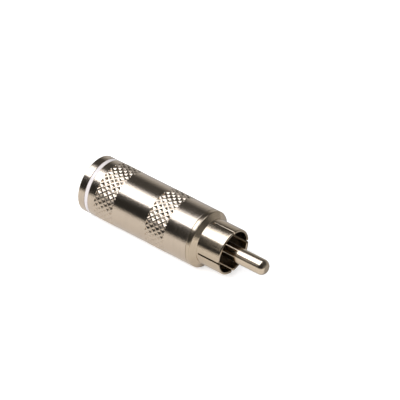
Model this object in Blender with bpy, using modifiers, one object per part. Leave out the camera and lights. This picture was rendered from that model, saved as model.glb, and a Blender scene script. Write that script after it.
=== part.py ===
"""Cable-mount phono plug with a screw-off knurled shell.

Metres, +Z from the rear face to the tip of the pin. The origin is the centre of the rear face.
A turned piece is a profile of (radius, height) points, run down its outer side first.
"""

import math

import bmesh
import bpy

# Fits
FIT = 0.0003
RING_FIT = 0.0001

# Shell
BARREL_DIAMETER = 0.0120
SHELL_LENGTH = 0.02735
REAR_WALL = 0.0030
REAR_EDGE_RADIUS = 0.00025
CABLE_HOLE_DIAMETER = 0.0065
CABLE_HOLE_EDGE = 0.0003
THREAD_WALL = 0.0008
THREAD_BORE_LENGTH = 0.00585
THREAD_STEP = 0.0001
EDGE_BREAK = 0.0001
MOUTH_CHAMFER = 0.0002

# Diamond knurl, in two bands on the shell
KNURL_DIAMONDS = 27
KNURL_ROWS = 6
KNURL_ROW_PITCH = 0.00071
KNURL_DEPTH = 0.0003
KNURL_RISE = 0.00003
KNURL_RUNOUT = 0.00025
REAR_BAND_START = 0.00424
FRONT_BAND_START = 0.01722

# Colour ring
RING_START = 0.0017
RING_WIDTH = 0.0008
RING_THICKNESS = 0.0006
RING_SINK = 0.00003
RING_EDGE = 0.00008

# Plug body
COLLAR_LENGTH = 0.0007
SHOULDER_LENGTH = 0.0008
SKIRT_DIAMETER = 0.0096
SKIRT_WALL = 0.00055
SKIRT_LENGTH = 0.00555
SKIRT_RIM_RADIUS = 0.00022
SKIRT_FLOOR_DEPTH = 0.0065
THREAD_LENGTH = 0.00455
THREAD_RELIEF_LENGTH = 0.0006
THREAD_RELIEF_DEPTH = 0.00025
BOSS_CHAMFER = 0.00025
SLOT_COUNT = 4
SLOT_WIDTH = 0.00034
SLOT_LENGTH = 0.00505
SLOT_CORNER = 0.0004

# Centre pin
PIN_DIAMETER = 0.0032
PIN_REACH = 0.0083
PIN_NOSE_LENGTH = 0.0013
PIN_NOSE_FLAT = 0.0003
SHANK_DIAMETER = 0.0016
STAKED_COLLAR_DIAMETER = 0.0032
STAKED_COLLAR_LENGTH = 0.0005
CUP_DIAMETER = 0.0025
CUP_WALL = 0.0004
CUP_LENGTH = 0.0047
CUP_DEPTH = 0.0038
CUP_OPENING = 0.0024
CUP_CUT_HEIGHT = 0.0002

# Insulators and sleeve
BUSH_WALL = 0.0005
BUSH_FLANGE = 0.0008
BUSH_LENGTH = 0.0030
PIN_RECESS_DEPTH = 0.0003
WASHER_FLANGE = 0.0007
WASHER_LAP = 0.00045
WASHER_LENGTH = 0.0014
SLEEVE_WALL = 0.0003

# Ground tag
TAG_THICKNESS = 0.0005
TAG_BEND_RADIUS = 0.0002
TAG_END_GAP = 0.0030
TAG_HOLE_LENGTH = 0.0020
TAG_HOLE_SETBACK = 0.0022
EAR_LENGTH = 0.0030
ARM_HALF_ANGLE = math.radians(30)
HOLE_HALF_ANGLE = math.radians(10)
EAR_HALF_ANGLE = math.radians(110)

# Fineness
ROUND_STEPS = 52
TAG_STEPS = 36
ARC_STEPS = 4
MERGE = 0.000001
CUT_MARGIN = 0.001

# Sizes that follow from the ones above
BARREL_RADIUS = BARREL_DIAMETER / 2
THREAD_BORE_RADIUS = BARREL_RADIUS - THREAD_WALL
BOSS_RADIUS = THREAD_BORE_RADIUS - FIT
CAVITY_RADIUS = THREAD_BORE_RADIUS - THREAD_STEP
SLEEVE_RADIUS = CAVITY_RADIUS - FIT
TAG_RADIUS = SLEEVE_RADIUS - SLEEVE_WALL - FIT
SKIRT_RADIUS = SKIRT_DIAMETER / 2
SKIRT_BORE_RADIUS = SKIRT_RADIUS - SKIRT_WALL
PIN_RADIUS = PIN_DIAMETER / 2
SHANK_RADIUS = SHANK_DIAMETER / 2
BUSH_BORE_RADIUS = SHANK_RADIUS + FIT
BUSH_RADIUS = BUSH_BORE_RADIUS + BUSH_WALL
BODY_BORE_RADIUS = BUSH_RADIUS + FIT
WASHER_RADIUS = BODY_BORE_RADIUS + WASHER_LAP

# Heights above the rear face
COLLAR_HEIGHT = SHELL_LENGTH + FIT
BOSS_END_HEIGHT = COLLAR_HEIGHT - THREAD_LENGTH
SKIRT_ROOT_HEIGHT = COLLAR_HEIGHT + COLLAR_LENGTH + SHOULDER_LENGTH
SKIRT_MOUTH_HEIGHT = SKIRT_ROOT_HEIGHT + SKIRT_LENGTH
SKIRT_FLOOR_HEIGHT = SKIRT_MOUTH_HEIGHT - SKIRT_FLOOR_DEPTH
BUSH_SEAT_HEIGHT = SKIRT_FLOOR_HEIGHT + FIT
PIN_SEAT_HEIGHT = BUSH_SEAT_HEIGHT + BUSH_FLANGE - PIN_RECESS_DEPTH + FIT
PIN_TIP_HEIGHT = SKIRT_MOUTH_HEIGHT + PIN_REACH
TAG_HEIGHT = BOSS_END_HEIGHT - FIT - TAG_THICKNESS / 2
WASHER_SEAT_HEIGHT = TAG_HEIGHT - TAG_THICKNESS / 2 - FIT
STAKE_HEIGHT = WASHER_SEAT_HEIGHT - WASHER_FLANGE - FIT


def clear_scene():
    """Take away every object that the file opened with."""
    for item in list(bpy.data.objects):
        bpy.data.objects.remove(item, do_unlink=True)


def new_collection(name):
    """Collection of the given name, linked to the scene."""
    group = bpy.data.collections.new(name)
    bpy.context.scene.collection.children.link(group)
    return group


def new_finish(name, colour, roughness, metallic):
    """Principled material with one colour."""
    material = bpy.data.materials.new(name)
    material.use_nodes = True
    shader = material.node_tree.nodes["Principled BSDF"]
    shader.inputs["Base Color"].default_value = (*colour, 1.0)
    shader.inputs["Roughness"].default_value = roughness
    shader.inputs["Metallic"].default_value = metallic
    return material


def new_axis(name, height, parent=None):
    """Empty on the plug's axis, for the pieces that move together."""
    axis = bpy.data.objects.new(name, None)
    PARTS.objects.link(axis)
    axis.parent = parent
    axis.location.z = height - (parent.location.z if parent else 0.0)
    axis.empty_display_size = BARREL_RADIUS
    return axis


def arc(centre, radius, start, end, steps=ARC_STEPS):
    """Points of an arc about a (radius, height) centre, between two angles in degrees."""
    angles = [math.radians(start + (end - start) * i / steps) for i in range(steps + 1)]
    return [(centre[0] + radius * math.cos(a), centre[1] + radius * math.sin(a)) for a in angles]


def settle(piece, crease=35):
    """Replace a piece's mesh by its modified one, shaded smooth where it folds by less than the crease."""
    bpy.context.view_layer.update()
    evaluated = piece.evaluated_get(bpy.context.evaluated_depsgraph_get())
    mesh = bpy.data.meshes.new_from_object(evaluated)
    piece.modifiers.clear()
    piece.data = mesh
    mesh.shade_smooth()
    mesh.set_sharp_from_angle(angle=math.radians(crease))


def turned(name, profile, height, parent=None, closed=True, steps=ROUND_STEPS):
    """Piece turned about the plug's axis, with its origin on the axis at the given height."""
    mesh = bpy.data.meshes.new(name)
    edges = [(i, i + 1) for i in range(len(profile) - 1)]
    if closed:
        edges.append((len(profile) - 1, 0))
    mesh.from_pydata([(radius, 0.0, z - height) for radius, z in profile], edges, [])
    piece = bpy.data.objects.new(name, mesh)
    PARTS.objects.link(piece)
    piece.parent = parent
    piece.location.z = height - (parent.matrix_world.translation.z if parent else 0.0)
    screw = piece.modifiers.new("turning", "SCREW")
    screw.axis = "Z"
    screw.angle = math.tau
    screw.steps = steps
    screw.render_steps = steps
    screw.use_merge_vertices = True
    screw.merge_threshold = MERGE
    settle(piece)
    return piece


def cut(piece, cutter):
    """Cut the cutter's shape out of the piece."""
    difference = piece.modifiers.new(cutter.name, "BOOLEAN")
    difference.operation = "DIFFERENCE"
    difference.solver = "EXACT"
    difference.object = cutter


def keep_as_cutter(cutter):
    """File an object as a construction guide that isn't part of the plug."""
    CUTTERS.objects.link(cutter)
    cutter.hide_render = True
    cutter.display_type = "WIRE"


def knurl_rows(start):
    """Heights of a band's rows, top to bottom, with a run-out ring past each end."""
    end = start + KNURL_ROWS * KNURL_ROW_PITCH
    rows = [start + KNURL_ROW_PITCH * row for row in reversed(range(KNURL_ROWS + 1))]
    return [end + KNURL_RUNOUT, *rows, start - KNURL_RUNOUT]


def press_knurl(piece, start):
    """Raise and sink a band's points in turn, then fold each face along the ridge between two pits."""
    columns = 2 * KNURL_DIAMONDS
    surface = bmesh.new()
    surface.from_mesh(piece.data)
    raised = {}
    for point in surface.verts:
        radius = math.hypot(point.co.x, point.co.y)
        row = (point.co.z - start) / KNURL_ROW_PITCH
        if radius < BARREL_RADIUS - MERGE or abs(row - KNURL_ROWS / 2) > KNURL_ROWS / 2 + 0.01:
            continue
        column = round(math.atan2(point.co.y, point.co.x) / math.tau * columns)
        raised[point] = (round(row) + column) % 2 == 0
        crest = BARREL_RADIUS + KNURL_RISE
        point.co.xy *= (crest if raised[point] else crest - KNURL_DEPTH) / radius
    for face in list(surface.faces):
        if len(face.verts) == 4 and all(point in raised for point in face.verts):
            ridge = [point for point in face.verts if raised[point]]
            bmesh.utils.face_split(face, *ridge)
    surface.to_mesh(piece.data)
    surface.free()


def build_shell():
    """Barrel with its rear wall, cable hole, ring groove, knurled bands and threaded mouth."""
    outer = BARREL_RADIUS
    groove_floor = outer - RING_SINK - RING_THICKNESS - RING_FIT
    groove_top = RING_START + RING_WIDTH + RING_FIT
    groove_base = RING_START - RING_FIT
    hole = CABLE_HOLE_DIAMETER / 2
    thread_end = SHELL_LENGTH - THREAD_BORE_LENGTH
    profile = [(outer - EDGE_BREAK, SHELL_LENGTH), (outer, SHELL_LENGTH - EDGE_BREAK)]
    profile += [(outer, z) for z in knurl_rows(FRONT_BAND_START)]
    profile += [(outer, z) for z in knurl_rows(REAR_BAND_START)]
    profile += [(outer, groove_top), (groove_floor, groove_top)]
    profile += [(groove_floor, groove_base), (outer, groove_base)]
    profile += arc((outer - REAR_EDGE_RADIUS, REAR_EDGE_RADIUS), REAR_EDGE_RADIUS, 0, -90)
    profile += arc((hole + CABLE_HOLE_EDGE, CABLE_HOLE_EDGE), CABLE_HOLE_EDGE, 270, 180)
    profile += [(hole, REAR_WALL), (CAVITY_RADIUS, REAR_WALL)]
    profile += [(CAVITY_RADIUS, thread_end - THREAD_STEP), (THREAD_BORE_RADIUS, thread_end)]
    profile += [(THREAD_BORE_RADIUS, SHELL_LENGTH - MOUTH_CHAMFER)]
    profile += [(THREAD_BORE_RADIUS + MOUTH_CHAMFER, SHELL_LENGTH)]
    shell = turned("shell", profile, 0.0, steps=2 * KNURL_DIAMONDS)
    press_knurl(shell, FRONT_BAND_START)
    press_knurl(shell, REAR_BAND_START)
    settle(shell, crease=12)
    return shell


def build_color_ring(shell):
    """Ring that fills the shell's groove."""
    outer = BARREL_RADIUS - RING_SINK
    inner = outer - RING_THICKNESS
    top = RING_START + RING_WIDTH
    profile = [(outer - RING_EDGE, top), (outer, top - RING_EDGE)]
    profile += [(outer, RING_START + RING_EDGE), (outer - RING_EDGE, RING_START)]
    profile += [(inner, RING_START), (inner, top)]
    return turned("color_ring", profile, RING_START, shell)


def slot_cutter(index):
    """Cutter for one slot of the skirt, from the axis outwards, flared where it leaves the mouth."""
    half = SLOT_WIDTH / 2
    corner = (half + SLOT_CORNER, SLOT_LENGTH - SLOT_CORNER)
    side = [(half, 0.0), *arc(corner, SLOT_CORNER, 180, 90), (corner[0], SLOT_LENGTH + CUT_MARGIN)]
    outline = side + [(-x, y) for x, y in reversed(side)]
    reach = SKIRT_RADIUS + CUT_MARGIN
    curve = bpy.data.curves.new("slot_outline", "CURVE")
    curve.dimensions = "2D"
    curve.fill_mode = "BOTH"
    curve.extrude = reach / 2
    spline = curve.splines.new("POLY")
    spline.points.add(len(outline) - 1)
    spline.use_cyclic_u = True
    for point, (x, y) in zip(spline.points, outline):
        point.co = (x, y, 0.0, 1.0)
    guide = bpy.data.objects.new("slot_guide", curve)
    CUTTERS.objects.link(guide)
    bpy.context.view_layer.update()
    mesh = bpy.data.meshes.new_from_object(guide.evaluated_get(bpy.context.evaluated_depsgraph_get()))
    bpy.data.objects.remove(guide, do_unlink=True)
    welded = bmesh.new()
    welded.from_mesh(mesh)
    for point in welded.verts:
        point.co.z += reach / 2
    bmesh.ops.remove_doubles(welded, verts=welded.verts, dist=MERGE)
    bmesh.ops.recalc_face_normals(welded, faces=welded.faces)
    welded.to_mesh(mesh)
    welded.free()
    cutter = bpy.data.objects.new(f"slot_cutter_{index + 1}", mesh)
    keep_as_cutter(cutter)
    cutter.rotation_euler = (math.pi / 2, 0.0, math.tau * index / SLOT_COUNT)
    cutter.location.z = SKIRT_MOUTH_HEIGHT - SLOT_LENGTH
    return cutter


def build_plug_body(core):
    """Skirt, shoulder, collar and threaded boss, turned in one piece and slotted."""
    rim = SKIRT_RIM_RADIUS
    mouth = SKIRT_MOUTH_HEIGHT
    shoulder_foot = COLLAR_HEIGHT + COLLAR_LENGTH
    relief_end = COLLAR_HEIGHT - THREAD_RELIEF_LENGTH
    relief_radius = BOSS_RADIUS - THREAD_RELIEF_DEPTH
    profile = arc((SKIRT_RADIUS - rim, mouth - rim), rim, 90, 0)
    profile += [(SKIRT_RADIUS, SKIRT_ROOT_HEIGHT), (BARREL_RADIUS - EDGE_BREAK, shoulder_foot + EDGE_BREAK / 2)]
    profile += [(BARREL_RADIUS, shoulder_foot - EDGE_BREAK / 2)]
    profile += [(BARREL_RADIUS, COLLAR_HEIGHT + EDGE_BREAK), (BARREL_RADIUS - EDGE_BREAK, COLLAR_HEIGHT)]
    profile += [(relief_radius, COLLAR_HEIGHT), (relief_radius, relief_end)]
    profile += [(BOSS_RADIUS, relief_end - THREAD_RELIEF_DEPTH)]
    profile += [(BOSS_RADIUS, BOSS_END_HEIGHT + BOSS_CHAMFER), (BOSS_RADIUS - BOSS_CHAMFER, BOSS_END_HEIGHT)]
    profile += [(BODY_BORE_RADIUS, BOSS_END_HEIGHT), (BODY_BORE_RADIUS, SKIRT_FLOOR_HEIGHT)]
    profile += [(SKIRT_BORE_RADIUS, SKIRT_FLOOR_HEIGHT)]
    profile += arc((SKIRT_BORE_RADIUS + rim, mouth - rim), rim, 180, 90)
    body = turned("plug_body", profile, COLLAR_HEIGHT, core)
    for index in range(SLOT_COUNT):
        cut(body, slot_cutter(index))
    settle(body)
    return body


def build_front_insulator(core):
    """Flanged bush on the floor of the skirt, recessed where the pin seats on it."""
    flange = SKIRT_BORE_RADIUS - FIT
    recess = PIN_RADIUS + FIT
    top = BUSH_SEAT_HEIGHT + BUSH_FLANGE
    recess_floor = top - PIN_RECESS_DEPTH
    end = top - BUSH_LENGTH
    profile = [(flange, top), (flange, BUSH_SEAT_HEIGHT), (BUSH_RADIUS, BUSH_SEAT_HEIGHT)]
    profile += [(BUSH_RADIUS, end), (BUSH_BORE_RADIUS, end), (BUSH_BORE_RADIUS, recess_floor)]
    profile += [(recess, recess_floor), (recess, top)]
    return turned("front_insulator", profile, BUSH_SEAT_HEIGHT, core)


def build_rear_insulator(core):
    """Flanged washer behind the ground tag, with a spigot into the body's bore."""
    base = WASHER_SEAT_HEIGHT - WASHER_FLANGE
    top = base + WASHER_LENGTH
    profile = [(BUSH_RADIUS, top), (BUSH_RADIUS, WASHER_SEAT_HEIGHT), (WASHER_RADIUS, WASHER_SEAT_HEIGHT)]
    profile += [(WASHER_RADIUS, base), (BUSH_BORE_RADIUS, base), (BUSH_BORE_RADIUS, top)]
    return turned("rear_insulator", profile, WASHER_SEAT_HEIGHT, core)


def build_centre_pin(core):
    """Pin with a bullet nose, a shank through both insulators, a staked collar and a solder cup."""
    nose = PIN_TIP_HEIGHT - PIN_NOSE_LENGTH
    collar = STAKED_COLLAR_DIAMETER / 2
    collar_end = STAKE_HEIGHT - STAKED_COLLAR_LENGTH
    cup = CUP_DIAMETER / 2
    cup_end = collar_end - CUP_LENGTH
    cup_floor = cup_end + CUP_DEPTH
    profile = [(0.0, PIN_TIP_HEIGHT)]
    for i in range(2 * ARC_STEPS + 1):
        angle = math.pi / 2 * i / (2 * ARC_STEPS)
        radius = PIN_NOSE_FLAT + (PIN_RADIUS - PIN_NOSE_FLAT) * math.sin(angle)
        profile.append((radius, nose + PIN_NOSE_LENGTH * math.cos(angle)))
    profile += [(PIN_RADIUS, PIN_SEAT_HEIGHT), (SHANK_RADIUS, PIN_SEAT_HEIGHT)]
    profile += [(SHANK_RADIUS, STAKE_HEIGHT), (collar, STAKE_HEIGHT), (collar, collar_end)]
    profile += [(cup, collar_end), (cup, cup_end), (cup - CUP_WALL, cup_end)]
    profile += [(cup - CUP_WALL, cup_floor), (0.0, cup_floor)]
    pin = turned("centre_pin", profile, PIN_SEAT_HEIGHT, core, closed=False)
    cut(pin, cup_cutter(cup_end))
    settle(pin)
    return pin


def cup_cutter(cup_end):
    """Box that opens one side of the solder cup."""
    block = bmesh.new()
    bmesh.ops.create_cube(block, size=1.0)
    width = CUP_DIAMETER + 2 * CUT_MARGIN
    depth = CUP_DIAMETER / 2 + CUT_MARGIN - CUP_CUT_HEIGHT
    bmesh.ops.scale(block, verts=block.verts, vec=(width, depth, CUP_OPENING + CUT_MARGIN))
    mesh = bpy.data.meshes.new("cup_cutter")
    block.to_mesh(mesh)
    block.free()
    cutter = bpy.data.objects.new("cup_cutter", mesh)
    keep_as_cutter(cutter)
    cutter.location = (0.0, CUP_CUT_HEIGHT + depth / 2, cup_end + (CUP_OPENING - CUT_MARGIN) / 2)
    return cutter


def build_ground_tag(core):
    """Tag bent from one sheet: a washer, an arm with a solder hole, and two ears round the cable."""
    middle = TAG_RADIUS - TAG_THICKNESS / 2
    bend = TAG_BEND_RADIUS + TAG_THICKNESS / 2
    tail_end = REAR_WALL + TAG_END_GAP
    ear_top = tail_end + EAR_LENGTH
    hole_top = ear_top + TAG_HOLE_SETBACK + TAG_HOLE_LENGTH
    path = [(BODY_BORE_RADIUS, TAG_HEIGHT), *arc((middle - bend, TAG_HEIGHT - bend), bend, 90, 0)]
    path += [(middle, hole_top), (middle, hole_top - TAG_HOLE_LENGTH), (middle, ear_top), (middle, tail_end)]
    tag = turned("ground_tag", path, TAG_HEIGHT, core, closed=False, steps=TAG_STEPS)
    trim_tag(tag, hole_top, ear_top)
    sheet = tag.modifiers.new("thickness", "SOLIDIFY")
    sheet.thickness = TAG_THICKNESS
    sheet.offset = 0.0
    sheet.use_even_offset = True
    settle(tag)
    return tag


def trim_tag(tag, hole_top, ear_top):
    """Cut the tag's blank out of the turned sheet."""
    sheet = bmesh.new()
    sheet.from_mesh(tag.data)
    waste = []
    for face in sheet.faces:
        centre = face.calc_center_median()
        angle = abs(math.atan2(centre.y, centre.x))
        height = centre.z + TAG_HEIGHT
        on_washer = height > TAG_HEIGHT - MERGE
        in_hole = hole_top - TAG_HOLE_LENGTH < height < hole_top and angle < HOLE_HALF_ANGLE
        limit = EAR_HALF_ANGLE if height < ear_top else ARM_HALF_ANGLE
        if not on_washer and (in_hole or angle > limit):
            waste.append(face)
    bmesh.ops.delete(sheet, geom=waste, context="FACES")
    sheet.to_mesh(tag.data)
    sheet.free()


def build_insulating_sleeve(carrier):
    """Loose tube between the shell's rear wall and the end of the threaded boss."""
    base = REAR_WALL + FIT
    top = BOSS_END_HEIGHT - FIT
    inner = SLEEVE_RADIUS - SLEEVE_WALL
    profile = [(SLEEVE_RADIUS, top), (SLEEVE_RADIUS, base), (inner, base), (inner, top)]
    return turned("insulating_sleeve", profile, base, carrier)


def dress(piece, material):
    """Give a piece its one material."""
    piece.data.materials.clear()
    piece.data.materials.append(material)


clear_scene()
PARTS = new_collection("rca_connector")
CUTTERS = new_collection("cutters")


def main():
    """Build the shell with its ring, then the core that unscrews from it."""
    sleeve_slide = new_axis("sleeve_slide", REAR_WALL)
    core_turn = new_axis("core_turn", COLLAR_HEIGHT, sleeve_slide)
    bpy.context.view_layer.update()
    shell = build_shell()
    dress(shell, new_finish("nickel_shell", (0.72, 0.69, 0.64), 0.16, 1.0))
    dress(build_color_ring(shell), new_finish("white_plastic", (0.86, 0.82, 0.83), 0.35, 0.0))
    dress(build_plug_body(core_turn), new_finish("nickel_body", (0.72, 0.69, 0.64), 0.16, 1.0))
    dress(build_front_insulator(core_turn), new_finish("black_plastic", (0.02, 0.02, 0.02), 0.5, 0.0))
    dress(build_rear_insulator(core_turn), new_finish("black_washer", (0.02, 0.02, 0.02), 0.5, 0.0))
    dress(build_centre_pin(core_turn), new_finish("nickel_pin", (0.72, 0.69, 0.64), 0.14, 1.0))
    dress(build_ground_tag(core_turn), new_finish("tinned_tag", (0.66, 0.65, 0.62), 0.35, 1.0))
    dress(build_insulating_sleeve(sleeve_slide), new_finish("sleeve_plastic", (0.75, 0.74, 0.70), 0.4, 0.0))


main()
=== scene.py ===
"""Studio scene of a cable-mount phono plug with a knurled shell that screws off.

Metres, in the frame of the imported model: +Z runs from the rear face to the tip of the pin. The
plug lies on its side in the picture, so the floor is a plane that touches the shell at +X, and -X
is up.
"""

import logging
import math
from collections.abc import Callable, Iterator, Sequence
from contextlib import contextmanager
from dataclasses import dataclass
from enum import Enum
from functools import reduce

import bmesh
import bpy
from mathutils import Matrix, Vector


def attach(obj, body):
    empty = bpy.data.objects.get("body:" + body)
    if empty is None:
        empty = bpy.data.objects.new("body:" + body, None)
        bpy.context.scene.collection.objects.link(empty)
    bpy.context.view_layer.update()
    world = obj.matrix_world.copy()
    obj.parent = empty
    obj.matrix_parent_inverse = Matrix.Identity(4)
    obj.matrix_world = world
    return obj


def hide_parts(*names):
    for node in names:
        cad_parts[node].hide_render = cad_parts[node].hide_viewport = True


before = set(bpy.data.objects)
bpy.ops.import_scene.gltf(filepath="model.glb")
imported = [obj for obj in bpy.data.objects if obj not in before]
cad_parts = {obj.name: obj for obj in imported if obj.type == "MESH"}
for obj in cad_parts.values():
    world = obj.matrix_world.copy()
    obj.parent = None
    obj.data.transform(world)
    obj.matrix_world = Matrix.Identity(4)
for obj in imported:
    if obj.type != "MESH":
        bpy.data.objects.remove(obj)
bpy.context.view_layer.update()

LOG = logging.getLogger("plug")
WELD = 0.000001  # points this close are one point
FINE = 216  # facets in one turn of a fine piece
HOLD = 0.00003  # from a corner to the ring that holds it
LONG_LINE = 10 * HOLD  # a longer line of a profile gets holding rings
SEED_SIZE = 0.001  # plane that is closed to a first vertex
CLEAR = 0.001  # how far a cutter reaches past the piece
NOISE_SPAN = (0.3, 0.7)  # where most values of a noise lie
UPRIGHT = Matrix.Rotation(math.pi / 2, 4, "X")  # stands a flat outline up, facing -Y

Point = tuple[float, float]
Span = tuple[float, float]
Colour = tuple[float, float, float]
Piece = bpy.types.Object
Socket = bpy.types.NodeSocket


class Body(Enum):
    """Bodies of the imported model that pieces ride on."""

    SHELL = "shell"
    SLEEVE = "sleeve"
    CORE = "core"


# Modelling by hand


def alone(piece: Piece) -> None:
    """Make one object the only selected one, and the active one.

    Args:
        piece: Object to work on next.
    """
    bpy.ops.object.select_all(action="DESELECT")
    piece.select_set(True)
    bpy.context.view_layer.objects.active = piece


@contextmanager
def editing(piece: Piece) -> Iterator[None]:
    """Hold an object in edit mode, with vertices as what is picked.

    Args:
        piece: Mesh object to edit.
    """
    alone(piece)
    bpy.ops.object.mode_set(mode="EDIT")
    bpy.context.tool_settings.mesh_select_mode = (True, False, False)
    yield
    bpy.ops.object.mode_set(mode="OBJECT")


def pick_all() -> None:
    """Select everything in the piece in edit mode."""
    bpy.ops.mesh.select_all(action="SELECT")


def pick(piece: Piece, test: Callable[[Vector], bool]) -> None:
    """Select the vertices whose place passes a test, and what lies between them.

    Args:
        piece: Mesh object in edit mode.
        test: Says whether a vertex at that place is wanted.
    """
    bpy.ops.mesh.select_all(action="DESELECT")
    mesh = bmesh.from_edit_mesh(piece.data)
    wanted = [vertex for vertex in mesh.verts if test(vertex.co)]
    for vertex in wanted:
        vertex.select = True
    mesh.select_flush(True)
    bmesh.update_edit_mesh(piece.data)


def weld_all() -> None:
    """Merge the doubles of the piece in edit mode."""
    pick_all()
    bpy.ops.mesh.remove_doubles(threshold=WELD)


def put_in_order(piece: Piece) -> None:
    """Put the points and faces of a mesh in one order, which some tools leave to chance.

    Args:
        piece: Mesh object in object mode.
    """
    mesh = bmesh.new()
    mesh.from_mesh(piece.data)
    order = sorted(mesh.verts, key=lambda vertex: tuple(vertex.co))
    rank = {vertex.index: place for place, vertex in enumerate(order)}
    mesh.verts.sort(key=lambda vertex: rank[vertex.index])
    mesh.verts.index_update()
    faces = []
    for face in mesh.faces:
        corners = [vertex.index for vertex in face.verts]
        first = corners.index(min(corners))
        faces.append(corners[first:] + corners[:first])
    for edge in list(mesh.edges):
        mesh.edges.remove(edge)
    mesh.verts.ensure_lookup_table()
    for corners in sorted(faces):
        mesh.faces.new([mesh.verts[index] for index in corners])
    mesh.to_mesh(piece.data)
    mesh.free()


def close_up(piece: Piece) -> None:
    """Turn all faces of a closed mesh outwards, and put it in order.

    Args:
        piece: Mesh object in object mode.
    """
    with editing(piece):
        pick_all()
        bpy.ops.mesh.normals_make_consistent(inside=False)
    put_in_order(piece)


def seed(name: str, place: Vector) -> Piece:
    """Start a mesh as one vertex, by closing a small plane to a point.

    Args:
        name: Name of the new piece.
        place: Where the vertex goes.

    Returns:
        The new object, left in object mode at the origin.
    """
    bpy.ops.object.select_all(action="DESELECT")
    bpy.ops.mesh.primitive_plane_add(size=SEED_SIZE)
    piece = bpy.context.active_object
    piece.name = piece.data.name = name
    with editing(piece):
        pick_all()
        bpy.ops.mesh.merge(type="CENTER")
        bpy.ops.transform.translate(value=place)
    return piece


def draw(name: str, places: Sequence[Vector], closed: bool) -> Piece:
    """Draw a line of edges by extruding one vertex from place to place.

    Args:
        name: Name of the new piece.
        places: Corners of the line, in order.
        closed: Whether the last corner joins the first.

    Returns:
        The object that holds the line.
    """
    piece = seed(name, places[0])
    stops = [*places, places[0]] if closed else list(places)
    with editing(piece):
        pick_all()
        for last, following in zip(stops, stops[1:]):
            bpy.ops.mesh.extrude_vertices_move(TRANSFORM_OT_translate={"value": following - last})
        weld_all()
    return piece


def held(profile: Sequence[Point], closed: bool) -> list[Point]:
    """Put a holding ring close to both ends of every long line of a profile.

    Args:
        profile: Corners as (radius, height).
        closed: Whether the last corner joins the first.

    Returns:
        The corners with the holding rings between them.
    """
    ends = [*profile[1:], profile[0]] if closed else profile[1:]
    points = []
    for start, end in zip(profile, ends):
        points.append(start)
        length = math.dist(start, end)
        if length > LONG_LINE:
            for share in (HOLD / length, 1 - HOLD / length):
                points.append(tuple(a + (b - a) * share for a, b in zip(start, end)))
    return points if closed else [*points, profile[-1]]


def turned(name: str, profile: Sequence[Point], closed: bool = True, steps: int = FINE) -> Piece:
    """Turn a profile about the plug's axis.

    Args:
        name: Name of the new piece.
        profile: Corners as (radius, height).
        closed: Whether the profile is a ring, rather than a line that starts and ends on the axis.
        steps: Facets in one turn.

    Returns:
        The turned piece, closed and facing out.
    """
    places = [Vector((radius, 0.0, height)) for radius, height in held(profile, closed)]
    piece = draw(name, places, closed)
    with editing(piece):
        pick_all()
        bpy.ops.mesh.spin(steps=steps, angle=math.tau, center=(0, 0, 0), axis=(0, 0, 1))
        weld_all()
    close_up(piece)
    return piece


def arc(centre: Point, radius: float, start: float, end: float, steps: int = 6) -> list[Point]:
    """Corners of an arc in a profile.

    Args:
        centre: Centre as (radius, height).
        radius: Radius of the arc.
        start: First angle in degrees, 0 pointing away from the axis.
        end: Last angle in degrees.
        steps: Number of chords.

    Returns:
        The corners, both ends among them.
    """
    angles = [math.radians(start + (end - start) * i / steps) for i in range(steps + 1)]
    return [(centre[0] + radius * math.cos(a), centre[1] + radius * math.sin(a)) for a in angles]


def block(name: str, outline: Sequence[Point], lift: Matrix, depth: float) -> Piece:
    """Extrude a flat outline into a closed block, as a cutter.

    Args:
        name: Name of the block.
        outline: Corners as (x, y) of the flat outline.
        lift: Takes the outline from the XY plane to its place.
        depth: How far it is extruded along the outline's own +Z.

    Returns:
        The block.
    """
    piece = draw(name, [lift @ Vector((x, y, 0.0)) for x, y in outline], True)
    with editing(piece):
        pick_all()
        bpy.ops.mesh.edge_face_add()
        along = lift.to_3x3() @ Vector((0.0, 0.0, depth))
        bpy.ops.mesh.extrude_region_move(TRANSFORM_OT_translate={"value": along})
    close_up(piece)
    return piece


def carve(piece: Piece, cutter: Piece) -> None:
    """Cut one closed shape out of another, and throw the cutter away.

    Args:
        piece: Object that is cut.
        cutter: Closed shape to take out of it.
    """
    alone(piece)
    difference = piece.modifiers.new("carve", "BOOLEAN")
    difference.operation = "DIFFERENCE"
    difference.solver = "EXACT"
    difference.object = cutter
    bpy.ops.object.modifier_apply(modifier=difference.name)
    bpy.data.objects.remove(cutter, do_unlink=True)
    put_in_order(piece)


def wound(name: str, section: Sequence[Point], pitch: float, turns: int, steps: int) -> Piece:
    """Wind a closed section round the axis as a right-hand helix, with both ends capped.

    Args:
        name: Name of the piece.
        section: Corners as (radius, height) of the section at its lower end.
        pitch: Rise in one turn.
        turns: Number of turns.
        steps: Facets in one turn.

    Returns:
        The helix as a closed solid.
    """
    piece = draw(name, [Vector((radius, 0.0, height)) for radius, height in section], True)
    screw = piece.modifiers.new("winding", "SCREW")
    screw.axis = "Z"
    screw.angle = math.tau
    screw.screw_offset = pitch
    screw.iterations = turns
    screw.steps = screw.render_steps = steps
    alone(piece)
    bpy.ops.object.modifier_apply(modifier=screw.name)
    with editing(piece):
        weld_all()
        bpy.ops.mesh.select_all(action="DESELECT")
        bpy.ops.mesh.select_non_manifold()
        bpy.ops.mesh.fill_holes(sides=len(section))
    close_up(piece)
    return piece


def join(piece: Piece, other: Piece) -> None:
    """Make a second object part of the first.

    Args:
        piece: Object that stays.
        other: Object that goes into it.
    """
    alone(piece)
    other.select_set(True)
    bpy.ops.object.join()


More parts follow.
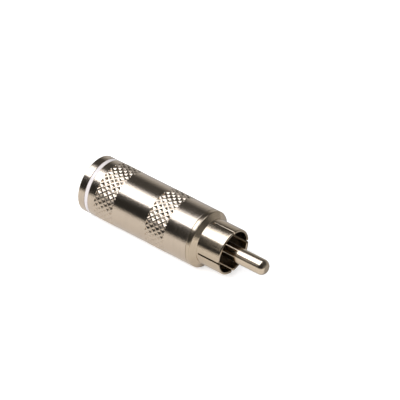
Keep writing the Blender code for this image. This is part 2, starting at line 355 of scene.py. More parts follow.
def seat(piece: Piece, node: str, body: Body, slot: str,
         finish: bpy.types.Material, crease: float = 35.0) -> None:
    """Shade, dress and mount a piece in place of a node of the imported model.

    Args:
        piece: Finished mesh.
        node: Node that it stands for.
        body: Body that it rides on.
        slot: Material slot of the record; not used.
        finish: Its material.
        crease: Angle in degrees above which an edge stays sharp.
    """
    alone(piece)
    bpy.ops.object.shade_smooth_by_angle(angle=math.radians(crease))
    piece.data.materials.clear()
    piece.data.materials.append(finish)
    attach(piece, body.value)
    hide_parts(node)
    LOG.info("%s: %d faces, rides on %s", piece.name, len(piece.data.polygons), body.value)


# Shader trees


class Sheet:
    """Adds nodes to one tree and wires them."""

    def __init__(self, tree: bpy.types.NodeTree) -> None:
        """Keep the tree that the nodes go into."""
        self.tree = tree

    def add(self, kind: str, settings: dict | None = None,
            inputs: dict | None = None) -> bpy.types.Node:
        """Add a node.

        Args:
            kind: Blender's name of the node type.
            settings: Attributes of the node.
            inputs: Values or sockets, by the name or number of the input.

        Returns:
            The node.
        """
        node = self.tree.nodes.new(kind)
        for key, value in (settings or {}).items():
            setattr(node, key, value)
        for key, value in (inputs or {}).items():
            if isinstance(value, Socket):
                self.tree.links.new(value, node.inputs[key])
            else:
                node.inputs[key].default_value = value
        return node

    def wire(self, source: Socket, target: Socket) -> None:
        """Link an output to an input."""
        self.tree.links.new(source, target)

    def maths(self, operation: str, *values: float | Socket) -> Socket:
        """Work out a number from operands in order, by Blender's name of the operation."""
        node = self.add("ShaderNodeMath", {"operation": operation}, dict(enumerate(values)))
        return node.outputs[0]

    def times(self, *values: float | Socket) -> Socket:
        """Product of numbers or sockets."""
        return reduce(lambda so_far, value: self.maths("MULTIPLY", so_far, value), values)

    def plus(self, *values: float | Socket) -> Socket:
        """Sum of numbers or sockets."""
        return reduce(lambda so_far, value: self.maths("ADD", so_far, value), values)

    def ramp(self, value: Socket, low: float, high: float, start: float, end: float) -> Socket:
        """Map low to start and high to end, smoothly between them and held outside."""
        settings = {"interpolation_type": "SMOOTHSTEP"}
        inputs = {"Value": value, "From Min": low, "From Max": high, "To Min": start, "To Max": end}
        return self.add("ShaderNodeMapRange", settings, inputs).outputs["Result"]

    def blend(self, share: Socket, first: Colour, second: Colour) -> Socket:
        """Blend two colours by a share that varies over the surface.

        Args:
            share: 0 for the first colour to 1 for the second.
            first: Colour at 0.
            second: Colour at 1.

        Returns:
            Socket with the colour.
        """
        mix = self.add("ShaderNodeMix", {"data_type": "RGBA"}, {"Factor": share})
        mix.inputs["A"].default_value = (*first, 1.0)
        mix.inputs["B"].default_value = (*second, 1.0)
        return mix.outputs["Result"]

    def coordinates(self) -> Socket:
        """Object coordinates."""
        return self.add("ShaderNodeTexCoord").outputs["Object"]

    def noise(self, place: Socket, scale: float | Socket,
              detail: float = 2.0, roughness: float = 0.5) -> Socket:
        """Noise from 0 to 1 over a place, with its number of finer layers and their strength."""
        inputs = {"Vector": place, "Scale": scale, "Detail": detail, "Roughness": roughness}
        return self.add("ShaderNodeTexNoise", None, inputs).outputs["Fac"]


def new_group(name: str, inputs: Sequence[str], outputs: Sequence[str]) -> tuple[Sheet, dict, dict]:
    """Start a shader node group whose sockets are all numbers.

    Args:
        name: Name of the group.
        inputs: Names of its inputs.
        outputs: Names of its outputs.

    Returns:
        Its sheet, its inputs by name, and its outputs by name.
    """
    tree = bpy.data.node_groups.new(name, "ShaderNodeTree")
    for title in inputs:
        tree.interface.new_socket(title, in_out="INPUT", socket_type="NodeSocketFloat")
    for title in outputs:
        tree.interface.new_socket(title, in_out="OUTPUT", socket_type="NodeSocketFloat")
    sheet = Sheet(tree)
    entry = sheet.add("NodeGroupInput")
    leave = sheet.add("NodeGroupOutput")
    return sheet, dict(entry.outputs.items()), dict(leave.inputs.items())


class Groups:
    """Shared effects, each a shader node group that is made once."""

    FEED_SHARE = 0.03
    COVER_SHARE = 0.5
    HAZE_SPAN = (0.0, 0.4)
    MOTTLE_SHARE = 0.12

    def __init__(self) -> None:
        """Make every group."""
        self.turning = self.make_turning()
        self.handling = self.make_handling()
        self.grain = self.make_grain()

    def make_turning(self) -> bpy.types.NodeTree:
        """Marks that a lathe leaves: fine rings round the axis, longer round it than along it.

        Returns:
            Group with Height for a bump and Streaks for roughness and colour.
        """
        sheet, given, result = new_group("turning_marks", ["Around", "Along", "Feed"],
                                         ["Height", "Streaks"])
        place = sheet.coordinates()
        stretch = sheet.add("ShaderNodeCombineXYZ", None,
                            {"X": given["Around"], "Y": given["Around"], "Z": given["Along"]})
        spread = sheet.add("ShaderNodeVectorMath", {"operation": "MULTIPLY"},
                           {0: place, 1: stretch.outputs[0]})
        noise = sheet.noise(spread.outputs[0], 1.0, detail=3.0, roughness=0.62)
        height = sheet.add("ShaderNodeSeparateXYZ", None, {0: place}).outputs["Z"]
        feed = sheet.maths("SINE", sheet.times(height, sheet.times(given["Feed"], math.tau)))
        sheet.wire(sheet.maths("MULTIPLY_ADD", feed, self.FEED_SHARE, noise), result["Height"])
        sheet.wire(sheet.ramp(noise, *NOISE_SPAN, 0.0, 1.0), result["Streaks"])
        return sheet.tree

    def make_handling(self) -> bpy.types.NodeTree:
        """Faint haze that fingers leave.

        Returns:
            Group with a Haze mask.
        """
        sheet, given, result = new_group("handling_haze", ["Scale", "Cover"], ["Haze"])
        noise = sheet.noise(sheet.coordinates(), given["Scale"], detail=4.0, roughness=0.55)
        bare = sheet.times(sheet.maths("SUBTRACT", 1.0, given["Cover"]), self.COVER_SHARE)
        haze = sheet.maths("SUBTRACT", noise, bare)
        sheet.wire(sheet.ramp(haze, *self.HAZE_SPAN, 0.0, 1.0), result["Haze"])
        return sheet.tree

    def make_grain(self) -> bpy.types.NodeTree:
        """Even fine grain of a plated or moulded surface.

        Returns:
            Group with Height for a bump and Mottle for colour.
        """
        sheet, given, result = new_group("mould_grain", ["Scale"], ["Height", "Mottle"])
        place = sheet.coordinates()
        broad = sheet.noise(place, sheet.times(given["Scale"], self.MOTTLE_SHARE))
        sheet.wire(sheet.noise(place, given["Scale"]), result["Height"])
        sheet.wire(sheet.ramp(broad, *NOISE_SPAN, 0.0, 1.0), result["Mottle"])
        return sheet.tree

    @staticmethod
    def place(sheet: Sheet, group: bpy.types.NodeTree, values: dict) -> dict:
        """Put a group into a material with its inputs by name, and give its outputs by name."""
        node = sheet.add("ShaderNodeGroup", {"node_tree": group}, values)
        return dict(node.outputs.items())


class Surface:
    """Material on its Principled shader, with the sheet of its tree."""

    def __init__(self, name: str) -> None:
        """Start the material.

        Args:
            name: Name of the material.
        """
        self.material = bpy.data.materials.new(name)
        self.material.use_nodes = True
        self.sheet = Sheet(self.material.node_tree)
        self.inputs = self.material.node_tree.nodes["Principled BSDF"].inputs

    def dress(self, tone: Socket, colours: tuple[Colour, Colour], polish: Span,
              height: Socket, relief: float) -> None:
        """Give the shader colour and roughness by a tone, and a bump by a height.

        Args:
            tone: 0 to 1 over the surface.
            colours: Colours at 0 and at 1.
            polish: Roughness at 0 and at 1.
            height: Height over the surface, without a unit.
            relief: Metres that a height of 1 stands for.
        """
        bump = self.sheet.add("ShaderNodeBump", None,
                              {"Strength": 1.0, "Distance": relief, "Height": height})
        self.sheet.wire(self.sheet.blend(tone, *colours), self.inputs["Base Color"])
        self.sheet.wire(self.sheet.ramp(tone, 0.0, 1.0, *polish), self.inputs["Roughness"])
        self.sheet.wire(bump.outputs["Normal"], self.inputs["Normal"])


@dataclass(frozen=True)
class PlatedMetal:
    """Turned and plated metal."""

    name: str
    bright: Colour = (0.64, 0.55, 0.45)
    dull: Colour = (0.54, 0.46, 0.37)
    polish: Span = (0.10, 0.19)
    around: float = 420.0
    along: float = 4200.0
    feed: float = 9000.0
    relief: float = 0.000018
    speckle: float = 1.0
    speckle_scale: float = 3400.0
    haze_scale: float = 260.0
    haze_cover: float = 0.45
    haze_share: float = 0.5

    def make(self, groups: Groups) -> bpy.types.Material:
        """Build the material.

        Args:
            groups: Shared effects.

        Returns:
            The material.
        """
        surface = Surface(self.name)
        sheet = surface.sheet
        marks = groups.place(sheet, groups.turning,
                             {"Around": self.around, "Along": self.along, "Feed": self.feed})
        haze = groups.place(sheet, groups.handling,
                            {"Scale": self.haze_scale, "Cover": self.haze_cover})["Haze"]
        streaks = sheet.times(marks["Streaks"], 1 - self.haze_share)
        tone = sheet.maths("MULTIPLY_ADD", haze, self.haze_share, streaks)
        grain = groups.place(sheet, groups.grain, {"Scale": self.speckle_scale})
        height = sheet.maths("MULTIPLY_ADD", grain["Height"], self.speckle, marks["Height"])
        surface.dress(tone, (self.bright, self.dull), self.polish, height, self.relief)
        surface.inputs["Metallic"].default_value = 1.0
        return surface.material


@dataclass(frozen=True)
class Plastic:
    """Moulded plastic."""

    name: str
    light: Colour
    dark: Colour
    polish: Span = (0.34, 0.46)
    scale: float = 9000.0
    relief: float = 0.000004
    see_through: float = 0.0
    see_depth: float = 0.0004

    def make(self, groups: Groups) -> bpy.types.Material:
        """Build the material.

        Args:
            groups: Shared effects.

        Returns:
            The material.
        """
        surface = Surface(self.name)
        grain = groups.place(surface.sheet, groups.grain, {"Scale": self.scale})
        surface.dress(grain["Mottle"], (self.light, self.dark), self.polish, grain["Height"],
                      self.relief)
        surface.inputs["Subsurface Weight"].default_value = self.see_through
        surface.inputs["Subsurface Scale"].default_value = self.see_depth
        return surface.material


# The plug


@dataclass
class Thread:
    """Right-hand thread between the shell and the plug body."""

    pitch: float = 0.00075
    half_width: float = 0.00026
    crest_half_width: float = 0.00006
    sink: float = 0.00006

    def ridge(self, name: str, root: float, crest: float, base: float, turns: int) -> Piece:
        """Wind one ridge of the thread.

        Args:
            name: Name of the piece.
            root: Radius of the surface that it stands on.
            crest: Radius of its crest.
            base: Height of the middle of its lower end.
            turns: Number of turns.

        Returns:
            The ridge as a closed solid.
        """
        foot = root + math.copysign(self.sink, root - crest)
        section = [(foot, base - self.half_width), (crest, base - self.crest_half_width),
                   (crest, base + self.crest_half_width), (foot, base + self.half_width)]
        return wound(name, section, self.pitch, turns, FINE // 2)


@dataclass
class Knurl:
    """Knurl that is pressed into the barrel: diamond pits between two crossing sets of ridges."""

    diamonds: int = 27
    pitch: float = 0.00142
    runout: float = 0.00012
    bands: tuple[tuple[float, int], ...] = ((0.01935, 2), (0.00637, 6))
    reach: tuple[int, int] = (-12, 14)
    levels: tuple[float, ...] = (0.00003, 0.00001, -0.00006, -0.00013, -0.00020)
    slack: float = 0.01
    crease: float = 14.0

    @property
    def share(self) -> int:
        """Steps of the pattern from a ridge to the middle of a pit."""
        return len(self.levels) - 1

    @property
    def step(self) -> float:
        """Height of one step of the pattern."""
        return self.pitch / (2 * self.share)

    def heights(self, middle: float) -> list[float]:
        """Rings of one band, with a run-out past each end.

        Args:
            middle: Height of the band's middle row.

        Returns:
            Heights from top to bottom.
        """
        low, high = self.reach
        rings = [middle + self.step * row for row in range(high, low - 1, -1)]
        return [rings[0] + self.runout, *rings, rings[-1] - self.runout]

    def level(self, place: Vector, barrel: float) -> int | None:
        """Level of a point of the barrel in the pattern.

        Args:
            place: Where the point is.
            barrel: Radius of the barrel.

        Returns:
            0 on a ridge to share in the middle of a pit, or None outside the bands.
        """
        if place.xy.length < barrel - WELD:
            return None
        for middle, turn in self.bands:
            row = (place.z - middle) / self.step
            if self.reach[0] - self.slack < row < self.reach[1] + self.slack:
                around = math.atan2(place.y, place.x) / math.tau * 2 * self.diamonds * self.share
                column, row = round(around) - turn, round(row)
                return self.share - max(self.away(column + row), self.away(column - row))
        return None

    def away(self, steps: int) -> int:
        """Steps to the nearest even point of the pattern."""
        left = steps % (2 * self.share)
        return min(left, 2 * self.share - left)

    def press(self, piece: Piece, barrel: float) -> None:
        """Sink the barrel's points level by level, then fold the faces along the ridges.

        Args:
            piece: Turned shell.
            barrel: Radius of its barrel.
        """
        with editing(piece):
            places = {tuple(vertex.co): self.level(vertex.co, barrel)
                      for vertex in bmesh.from_edit_mesh(piece.data).verts}
            for level, rise in enumerate(self.levels):
                pick(piece, lambda place, level=level: places.get(tuple(place)) == level)
                scale = 1 + rise / barrel
                bpy.ops.transform.resize(value=(scale, scale, 1.0), center_override=(0, 0, 0))
            low, high = min(self.levels) - WELD, max(self.levels) + WELD
            for middle, _ in self.bands:
                rings = self.heights(middle)
                pick(piece, lambda place: barrel + low < place.xy.length < barrel + high
                     and rings[-1] - WELD < place.z < rings[0] + WELD)
                bpy.ops.mesh.quads_convert_to_tris(quad_method="SHORTEST_DIAGONAL")


@dataclass
class Shell:
    """Screw-off shell with its colour ring."""

    radius: float = 0.0060
    length: float = 0.02736
    rear_edge: float = 0.00025
    mouth_edge: float = 0.0001
    mouth_chamfer: float = 0.0002
    hole: float = 0.00325
    hole_edge: float = 0.0003
    rear_wall: float = 0.0030
    cavity: float = 0.0051
    thread_bore: float = 0.0052
    thread_end: float = 0.0215
    thread_lead: float = 0.0001
    thread_start: float = 0.0006
    thread_crest: float = 0.00496
    thread_turns: int = 6
    groove: Span = (0.00167, 0.00253)
    groove_depth: float = 0.0007
    groove_edge: float = 0.00004
    ring: Span = (0.0017, 0.0025)
    ring_rise: float = -0.00002
    ring_depth: float = 0.0006
    ring_edge: float = 0.0001

    def build_shell(self, knurl: Knurl, thread: Thread) -> Piece:
        """Turn the shell, press its knurls and wind its inner thread.

        Args:
            knurl: Pattern on the barrel.
            thread: Thread in its mouth.

        Returns:
            The shell.
        """
        outer, top, edge, rear = self.radius, self.length, self.mouth_edge, self.rear_edge
        low, high = self.groove
        lip, depth = self.groove_edge, self.groove_depth
        bore, chamfer = self.thread_bore, self.mouth_chamfer
        profile = arc((outer - edge, top - edge), edge, 90, 0, steps=5)
        for middle, _ in knurl.bands:
            profile += [(outer, z) for z in knurl.heights(middle)]
        profile += [(outer, high + lip), (outer - lip, high), (outer - depth, high)]
        profile += [(outer - depth, low), (outer - lip, low), (outer, low - lip)]
        profile += arc((outer - rear, rear), rear, 0, -90, steps=8)
        profile += arc((self.hole + self.hole_edge, self.hole_edge), self.hole_edge, 270, 180)
        profile += [(self.hole, self.rear_wall), (self.cavity, self.rear_wall)]
        profile += [(self.cavity, self.thread_end - self.thread_lead), (bore, self.thread_end)]
        profile += [(bore, top - chamfer), (bore + chamfer, top)]
        piece = turned("knurled_shell", profile)
        knurl.press(piece, outer)
        join(piece, thread.ridge("shell_thread", bore, self.thread_crest,
                                 self.thread_end + self.thread_start, self.thread_turns))
        return piece

    def build_ring(self) -> Piece:
        """Turn the colour ring with softly rounded edges.

        Returns:
            The ring.
        """
        low, high = self.ring
        outer = self.radius + self.ring_rise
        edge = self.ring_edge
        profile = arc((outer - edge, high - edge), edge, 90, 0, steps=4)
        profile += arc((outer - edge, low + edge), edge, 0, -90, steps=4)
        profile += [(outer - self.ring_depth, low), (outer - self.ring_depth, high)]
        return turned("marker_ring", profile)


@dataclass
class PlugBody:
    """Skirt, shoulder, collar and threaded boss in one piece."""

    radius: float = 0.0060
    collar: float = 0.02741
    shoulder_foot: float = 0.02835
    shoulder_top: float = 0.02915
    edge: float = 0.00006
    collar_line: float = 0.00006
    skirt: float = 0.0048
    skirt_bore: float = 0.00425
    mouth: float = 0.0347
    floor: float = 0.0282
    rim: float = 0.00022
    relief: float = 0.00455
    relief_length: float = 0.0006
    relief_end: float = 0.0008
    boss: float = 0.00476
    boss_end: float = 0.0231
    boss_chamfer: float = 0.0003
    bore: float = 0.0019
    thread_start: float = 0.0002
    thread_crest: float = 0.0051
    thread_turns: int = 4
    slots: int = 4
    slot_width: float = 0.00038
    slot_length: float = 0.00505
    slot_corner: float = 0.0004
    slot_bevel: Point = (0.0001, 25.0)

    def build(self, thread: Thread) -> Piece:
        """Turn the body, cut its slots and wind its thread.

        Args:
            thread: Thread on its boss.

        Returns:
            The body.
        """
        rim, edge, outer, line = self.rim, self.edge, self.radius, self.collar_line
        boss, chamfer, foot = self.boss, self.boss_chamfer, self.shoulder_foot - 2 * edge
        profile = arc((self.skirt - rim, self.mouth - rim), rim, 90, 0)
        profile += [(self.skirt, self.shoulder_top), (outer - edge, self.shoulder_foot + edge / 2)]
        profile += [(outer, foot + edge), (outer, foot)]
        profile += [(outer - line, foot - line), (outer, foot - 2 * line)]
        profile += arc((outer - edge, self.collar + edge), edge, 0, -90, steps=3)
        profile += [(self.relief, self.collar), (self.relief, self.collar - self.relief_length)]
        profile += [(boss, self.collar - self.relief_end), (boss, self.boss_end + chamfer)]
        profile += [(boss - chamfer, self.boss_end), (self.bore, self.boss_end)]
        profile += [(self.bore, self.floor), (self.skirt_bore, self.floor)]
        profile += arc((self.skirt_bore + rim, self.mouth - rim), rim, 180, 90)
        piece = turned("ground_body", profile)
        for index in range(self.slots):
            carve(piece, self.slot_cutter(index))
            carve(piece, self.bevel_cutter(index))
        join(piece, thread.ridge("body_thread", boss, self.thread_crest,
                                 self.boss_end + chamfer + self.thread_start, self.thread_turns))
        return piece

    def slot_place(self, index: int) -> Matrix:
        """Foot of one slot on the axis, turned to the slot's side."""
        turn = Matrix.Rotation(math.tau * index / self.slots, 4, "Z")
        return turn @ Matrix.Translation((0, 0, self.mouth - self.slot_length))

    def slot_cutter(self, index: int) -> Piece:
        """Cutter for one slot, from the axis outwards, flared where it leaves the mouth.

        Args:
            index: Number of the slot.

        Returns:
            The cutter.
        """
        half, length, corner = self.slot_width / 2, self.slot_length, self.slot_corner
        flare = arc((half + corner, length - corner), corner, 180, 90, steps=8)
        side = [(half, 0.0), *flare, (half + corner, length + CLEAR)]
        outline = side + [(-x, y) for x, y in reversed(side)]
        return block("slot_cutter", outline, self.slot_place(index) @ UPRIGHT, self.skirt + CLEAR)

    def bevel_cutter(self, index: int) -> Piece:
        """Cutter that breaks both outer edges of one slot.

        Args:
            index: Number of the slot.

        Returns:
            The cutter.
        """
        wide, angle = self.slot_bevel
        half = self.slot_width / 2 + wide
        deep, out = half * math.tan(math.radians(angle)), self.skirt
        outline = [(half, -out), (0.0, deep - out), (-half, -out), (0.0, -deep - out)]
        return block("bevel_cutter", outline, self.slot_place(index), self.slot_length + CLEAR)


@dataclass
class CentrePin:
    """Signal pin with a rounded nose, a staked collar and a solder cup."""

    radius: float = 0.0016
    tip: float = 0.0430
    nose: float = 0.0013
    nose_steps: int = 24
    flat: float = 0.0003
    seat: float = 0.0293
    shank: float = 0.0008
    stake: float = 0.0210
    collar: float = 0.0016
    collar_length: float = 0.0005
    cup: float = 0.00125
    cup_wall: float = 0.0004
    cup_end: float = 0.0158
    cup_depth: float = 0.0038
    cup_opening: float = 0.0024
    cup_cut: float = 0.0002
    edge: float = 0.00008

    def build(self) -> Piece:
        """Turn the pin and open one side of its cup.

        Returns:
            The pin.
        """
        start, edge = self.tip - self.nose, self.edge
        profile = [(0.0, self.tip)]
        for i in range(self.nose_steps + 1):
            angle = math.pi / 2 * i / self.nose_steps
            radius = self.flat + (self.radius - self.flat) * math.sin(angle)
            profile.append((radius, start + self.nose * math.cos(angle)))
        end = self.stake - self.collar_length
        inner, cup_floor = self.cup - self.cup_wall, self.cup_end + self.cup_depth
        profile += arc((self.radius - edge, self.seat + edge), edge, 0, -90, steps=3)
        profile += [(self.shank, self.seat), (self.shank, self.stake)]
        profile += arc((self.collar - edge, self.stake - edge), edge, 90, 0, steps=3)
        profile += arc((self.collar - edge, end + edge), edge, 0, -90, steps=3)
        profile += [(self.cup, end)]
        profile += arc((self.cup - edge, self.cup_end + edge), edge, 0, -90, steps=3)
        profile += [(inner, self.cup_end), (inner, cup_floor), (0.0, cup_floor + inner / 2)]
        piece = turned("signal_pin", profile, closed=False, steps=FINE // 2)
        half, top = self.cup + CLEAR, self.cup_opening
        outline = [(-half, -CLEAR), (half, -CLEAR), (half, top), (-half, top)]
        lift = Matrix.Translation((0, half, self.cup_end)) @ UPRIGHT
        carve(piece, block("cup_cutter", outline, lift, half - self.cup_cut))
        return piece


@dataclass
class Bush:
    """Flanged plastic insulator."""

    name: str
    bore: float
    flange: float
    barrel: float
    flange_end: float
    flange_seat: float
    barrel_end: float
    edge: float = 0.00008
    recess: Point | None = None

    def build(self) -> Piece:
        """Turn the insulator, with its flange's face rounded at the rim.

        Returns:
            The insulator.
        """
        face, way = self.flange_end, math.copysign(1.0, self.flange_end - self.flange_seat)
        rounding = arc((0.0, 0.0), self.edge, 90, 0, steps=4)
        rim = [(self.flange - self.edge + x, face - way * (self.edge - y)) for x, y in rounding]
        profile = [*rim, (self.flange, self.flange_seat), (self.barrel, self.flange_seat)]
        profile += [(self.barrel, self.barrel_end), (self.bore, self.barrel_end)]
        if self.recess:
            radius, floor = self.recess
            profile += [(self.bore, floor), (radius, floor), (radius, face)]
        else:
            profile += [(self.bore, face)]
        return turned(self.name, profile, steps=FINE // 2)


@dataclass
class Liner:
    """Thin plastic tube that keeps the solder joints off the shell."""

    outer: float = 0.0048
    inner: float = 0.0045
    base: float = 0.0033
    top: float = 0.0228

    def build(self) -> Piece:
        """Turn the tube with rounded ends.

        Returns:
            The tube.
        """
        edge = (self.outer - self.inner) / 2
        middle = self.inner + edge
        profile = arc((middle, self.top - edge), edge, 180, 0)
        profile += arc((middle, self.base + edge), edge, 0, -180)
        return turned("liner_tube", profile, steps=FINE // 2)


# The studio


@dataclass
class Studio:
    """Floor, light tent, key lamp, world and camera.

    The tent's light is set by the angle round the plug in degrees, 0 above it and 90 on the
    camera's side, and by the place along it, as a share of the tent's radius.
    """

    middle: float = 0.0218
    roll: float = 1.667
    floor_height: float = 0.00608
    floor_size: float = 6.0
    floor_colour: Colour = (0.86, 0.86, 0.87)
    floor_lift: float = 0.55
    floor_seam: float = 0.002
    far_fade: Span = (0.0, 0.04)
    far_share: Span = (0.42, 0.6)
    tent_radius: float = 0.055
    tent_facets: int = 96
    tent_dark: float = 0.034
    reach_blur: Span = (0.03, 0.05)
    window_top: Span = (-21.0, 8.0)
    window_power: float = 2.0
    window_foot: Span = (32.0, 39.5)
    window_tail: Span = (36.0, 60.0)
    tail_share: float = 0.045
    window_reach: Span = (-0.97, 0.24)
    window_glow: Colour = (2.9, 3.06, 3.42)
    spread_from: Span = (-0.38, -0.1)
    spread: float = 23.0
    spread_below: float = 0.3
    card_top: Span = (0.0, 20.0)
    card_foot: Span = (67.0, 73.0)
    card_reach: Span = (-0.225, -0.17)
    card_glow: float = 0.7
    far_edge: Span = (-86.0, -45.0)
    far_glow: float = 0.5
    far_front: float = -0.4
    haze_edge: Span = (-20.0, 60.0)
    haze_glow: float = 0.04
    near_edge: Span = (83.0, 98.0)
    near_glow: float = 0.9
    pole_from: Span = (0.88, 0.98)
    pole_glow: float = 0.12
    fill: float = 0.62
    key_power: float = 4.0
    key_size: float = 0.45
    key_distance: float = 0.8
    key_angle: float = 40.0
    key_lean: float = -0.1
    camera_place: tuple[float, float, float] = (-0.48649, -0.46335, 0.39859)
    camera_right: tuple[float, float, float] = (0.0, 0.6263, 0.7795)
    camera_up: tuple[float, float, float] = (-0.7795, 0.4883, -0.3923)
    lens: float = 353.16
    sensor: float = 36.0
    clip: Span = (0.01, 20.0)

    def build(self) -> None:
        """Set up the whole studio."""
        self.build_floor()
        self.build_tent()
        self.build_key()
        self.build_world()
        self.build_camera()

    def rolled(self, piece: Piece) -> None:
        """Turn a piece of the studio a little about the plug's axis."""
        bpy.context.view_layer.update()
        piece.matrix_world = Matrix.Rotation(math.radians(self.roll), 4, "Z") @ piece.matrix_world

    @staticmethod
    def bare_sheet(piece: Piece, name: str) -> Sheet:
        """Give a piece of the studio an empty material.

        Args:
            piece: Object that gets it.
            name: Name of the material.

        Returns:
            Sheet of its tree.
        """
        material = bpy.data.materials.new(name)
        material.use_nodes = True
        material.node_tree.nodes.clear()
        piece.data.materials.append(material)
        return Sheet(material.node_tree)

    def build_floor(self) -> None:
        """Lay a white floor under the plug that shows only from above, and fades in gloss on the
        plug's far side: painted shade that only reflections show.
        """
        bpy.ops.object.select_all(action="DESELECT")
        bpy.ops.mesh.primitive_plane_add(
            size=self.floor_size, location=(self.floor_height, 0, self.middle),
            rotation=(0, -math.pi / 2, 0))
        floor = bpy.context.active_object
        floor.name = "studio_floor"
        sheet = self.bare_sheet(floor, "floor_white")
        path = sheet.add("ShaderNodeLightPath").outputs
        across = sheet.add("ShaderNodeSeparateXYZ", None, {0: sheet.coordinates()}).outputs["Y"]
        # Painted reflection: gloss sees the floor darker past the plug's far side, as painted shade
        # in what the metal mirrors.
        far = sheet.ramp(across, *self.far_fade, *(1 - share for share in self.far_share))
        dimming = sheet.times(far, sheet.ramp(across, -self.floor_seam, self.floor_seam, 0.0, 1.0))
        bright = sheet.maths("SUBTRACT", 1.0, sheet.times(dimming, path["Is Glossy Ray"]))
        colour = sheet.blend(bright, (0.0, 0.0, 0.0), self.floor_colour)
        paint = sheet.add("ShaderNodeBsdfDiffuse", None, {"Color": colour}).outputs[0]
        glow = sheet.times(path["Is Camera Ray"], self.floor_lift)
        lift = sheet.add("ShaderNodeEmission", None, {"Strength": glow}).outputs[0]
        front = sheet.add("ShaderNodeAddShader", None, {0: paint, 1: lift}).outputs[0]
        clear = sheet.add("ShaderNodeBsdfTransparent").outputs[0]
        behind = sheet.add("ShaderNodeNewGeometry").outputs["Backfacing"]
        skin = sheet.add("ShaderNodeMixShader", None, {0: behind, 1: front, 2: clear}).outputs[0]
        sheet.add("ShaderNodeOutputMaterial", None, {"Surface": skin})
        self.rolled(floor)

    def build_tent(self) -> None:
        """Put a dark tent with one bright window round the plug, which only gloss reflects."""
        bpy.ops.object.select_all(action="DESELECT")
        bpy.ops.mesh.primitive_uv_sphere_add(
            segments=self.tent_facets, ring_count=self.tent_facets // 2,
            radius=self.tent_radius, location=(0, 0, self.middle))
        tent = bpy.context.active_object
        tent.name = "light_tent"
        with editing(tent):
            pick_all()
            bpy.ops.mesh.bisect(plane_co=(self.floor_height, 0, 0), plane_no=(1, 0, 0),
                                clear_outer=True)
        sheet = self.bare_sheet(tent, "tent_cloth")
        cloth = sheet.add("ShaderNodeEmission", None, {"Color": self.tent_light(sheet)}).outputs[0]
        sheet.add("ShaderNodeOutputMaterial", None, {"Surface": cloth})
        tent.visible_camera = tent.visible_diffuse = tent.visible_shadow = False
        tent.visible_transmission = tent.visible_volume_scatter = False
        self.rolled(tent)

    def tent_light(self, sheet: Sheet) -> Socket:
        """Add the window, the card and the dimmer parts of the tent.

        Args:
            sheet: Sheet of the tent's material.

        Returns:
            Socket with the colour of the light.
        """
        axes = sheet.add("ShaderNodeSeparateXYZ", None, {0: sheet.coordinates()}).outputs
        up, near = sheet.times(axes["X"], -1.0), sheet.times(axes["Y"], -1.0)
        around = sheet.times(sheet.maths("ARCTAN2", near, up), math.degrees(1.0))
        along = sheet.maths("DIVIDE", axes["Z"], self.tent_radius)
        front = sheet.ramp(along, *self.spread_from, 0.0, 1.0)
        above = sheet.maths("MULTIPLY_ADD", front, self.spread, around)
        below = sheet.maths("MULTIPLY_ADD", front, self.spread_below * self.spread, around)
        top = sheet.maths("POWER", sheet.ramp(above, *self.window_top, 0.0, 1.0), self.window_power)
        foot = sheet.plus(sheet.ramp(around, *self.window_foot, 1 - self.tail_share, 0.0),
                          sheet.ramp(around, *self.window_tail, self.tail_share, 0.0))
        window = sheet.times(top, foot, self.span(sheet, along, self.window_reach))
        card = sheet.times(sheet.ramp(around, *self.card_top, 0.0, self.card_glow),
                           sheet.ramp(around, *self.card_foot, 1.0, 0.0),
                           self.span(sheet, along, self.card_reach))
        far = sheet.times(sheet.ramp(around, *self.far_edge, self.far_glow, 0.0),
                          sheet.maths("MULTIPLY_ADD", front, self.far_front, 1.0))
        dim = sheet.plus(far, sheet.ramp(around, *self.haze_edge, self.haze_glow, 0.0),
                         sheet.ramp(below, *self.near_edge, self.tent_dark, self.near_glow),
                         sheet.ramp(along, *self.pole_from, 0.0, self.pole_glow), card)
        glow = sheet.blend(window, (0.0, 0.0, 0.0), self.window_glow)
        light = sheet.add("ShaderNodeVectorMath", {"operation": "ADD"}, {0: glow, 1: dim})
        return light.outputs[0]

    def span(self, sheet: Sheet, along: Socket, reach: Span) -> Socket:
        """Mask that is 1 between the two ends of a reach along the tent, with soft ends."""
        (low, high), (low_blur, high_blur) = reach, self.reach_blur
        return sheet.times(sheet.ramp(along, low - low_blur, low + low_blur, 0.0, 1.0),
                           sheet.ramp(along, high - high_blur, high + high_blur, 1.0, 0.0))

    def build_key(self) -> None:
        """Hang the soft key lamp on the camera's side, over the plug."""
        angle = math.radians(self.key_angle)
        toward = Vector((-math.cos(angle), -math.sin(angle), self.key_lean)).normalized()
        lamp = bpy.data.lights.new("key", "AREA")
        lamp.energy = self.key_power
        lamp.size = self.key_size
        key = bpy.data.objects.new("key", lamp)
        bpy.context.scene.collection.objects.link(key)
        key.location = Vector((0, 0, self.middle)) + toward * self.key_distance
        key.rotation_euler = toward.to_track_quat("Z", "Y").to_euler()
        key.visible_glossy = False
        self.rolled(key)

    def build_world(self) -> None:
        """Fill the studio with even white, at full strength where it is seen or mirrored."""
        world = bpy.data.worlds.new("studio")
        world.use_nodes = True
        bpy.context.scene.world = world
        sheet = Sheet(world.node_tree)
        path = sheet.add("ShaderNodeLightPath").outputs
        seen = sheet.maths("MAXIMUM", path["Is Camera Ray"], path["Is Glossy Ray"])
        seen = sheet.maths("MAXIMUM", seen, path["Is Transmission Ray"])
        background = world.node_tree.nodes["Background"]
        background.inputs["Color"].default_value = (1.0, 1.0, 1.0, 1.0)
        sheet.wire(sheet.ramp(seen, 0.0, 1.0, self.fill, 1.0), background.inputs["Strength"])

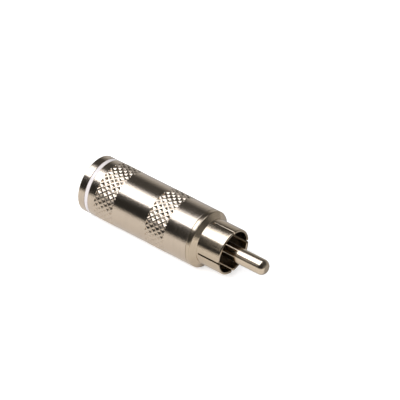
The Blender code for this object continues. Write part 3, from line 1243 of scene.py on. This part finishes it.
    def build_camera(self) -> None:
        """Stand the camera where the picture was taken from."""
        lens = bpy.data.cameras.new("camera")
        lens.lens = self.lens
        lens.sensor_width = self.sensor
        lens.clip_start, lens.clip_end = self.clip
        camera = bpy.data.objects.new("camera", lens)
        bpy.context.scene.collection.objects.link(camera)
        right, up = Vector(self.camera_right), Vector(self.camera_up)
        axes = Matrix((right, up, right.cross(up))).transposed().to_4x4()
        camera.matrix_world = Matrix.Translation(self.camera_place) @ axes
        self.rolled(camera)
        bpy.context.scene.camera = camera
        bpy.context.scene.view_settings.view_transform = "Standard"


def main() -> None:
    """Build the plug's pieces in place of the imported ones, give the imported tag a new finish,
    then build the studio round it.
    """
    logging.basicConfig(level=logging.INFO, format="%(name)s: %(message)s")
    groups = Groups()
    knurl, thread, shell = Knurl(), Thread(), Shell()
    nickel = PlatedMetal("nickel_shell_finish", bright=(0.655, 0.543, 0.425),
                         dull=(0.595, 0.493, 0.385)).make(groups)
    seat(shell.build_shell(knurl, thread), "shell", Body.SHELL, "nickel_shell", nickel,
         crease=knurl.crease)
    ring_white = Plastic("white_ring_finish", light=(0.80, 0.75, 0.755), dark=(0.76, 0.71, 0.715),
                         polish=(0.16, 0.24)).make(groups)
    seat(shell.build_ring(), "color_ring", Body.SHELL, "white_plastic", ring_white)
    body_nickel = PlatedMetal("nickel_body_finish", bright=(0.63, 0.515, 0.378),
                              dull=(0.57, 0.465, 0.342), polish=(0.10, 0.17),
                              relief=0.000014).make(groups)
    seat(PlugBody().build(thread), "plug_body", Body.CORE, "nickel_body", body_nickel)
    pin_nickel = PlatedMetal("nickel_pin_finish", bright=(0.71, 0.585, 0.44),
                             dull=(0.65, 0.535, 0.40), polish=(0.13, 0.18),
                             relief=0.000006).make(groups)
    seat(CentrePin().build(), "centre_pin", Body.CORE, "nickel_pin", pin_nickel)
    black = Plastic("black_bush_finish", light=(0.065, 0.060, 0.055),
                    dark=(0.052, 0.048, 0.044)).make(groups)
    front = Bush("pin_bush", bore=0.0011, flange=0.00395, barrel=0.0016, flange_end=0.0293,
                 flange_seat=0.0285, barrel_end=0.0263, recess=(0.0019, 0.0290))
    seat(front.build(), "front_insulator", Body.CORE, "black_plastic", black)
    washer_black = Plastic("black_washer_finish", light=(0.024, 0.022, 0.020),
                           dark=(0.016, 0.015, 0.014)).make(groups)
    rear = Bush("stake_washer", bore=0.0011, flange=0.00235, barrel=0.0016, flange_end=0.0213,
                flange_seat=0.0220, barrel_end=0.0227)
    seat(rear.build(), "rear_insulator", Body.CORE, "black_washer", washer_black)
    liner = Plastic("liner_finish", light=(0.74, 0.73, 0.69), dark=(0.68, 0.67, 0.63),
                    see_through=0.3).make(groups)
    seat(Liner().build(), "insulating_sleeve", Body.SLEEVE, "sleeve_plastic", liner)
    tin = PlatedMetal("tinned_tag_finish", bright=(0.64, 0.62, 0.58), dull=(0.50, 0.48, 0.45),
                      polish=(0.26, 0.42), around=1800.0, along=1800.0).make(groups)
    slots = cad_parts["ground_tag"].data.materials
    slots.clear()
    slots.append(tin)
    Studio().build()


if __name__ == "__main__":
    main()
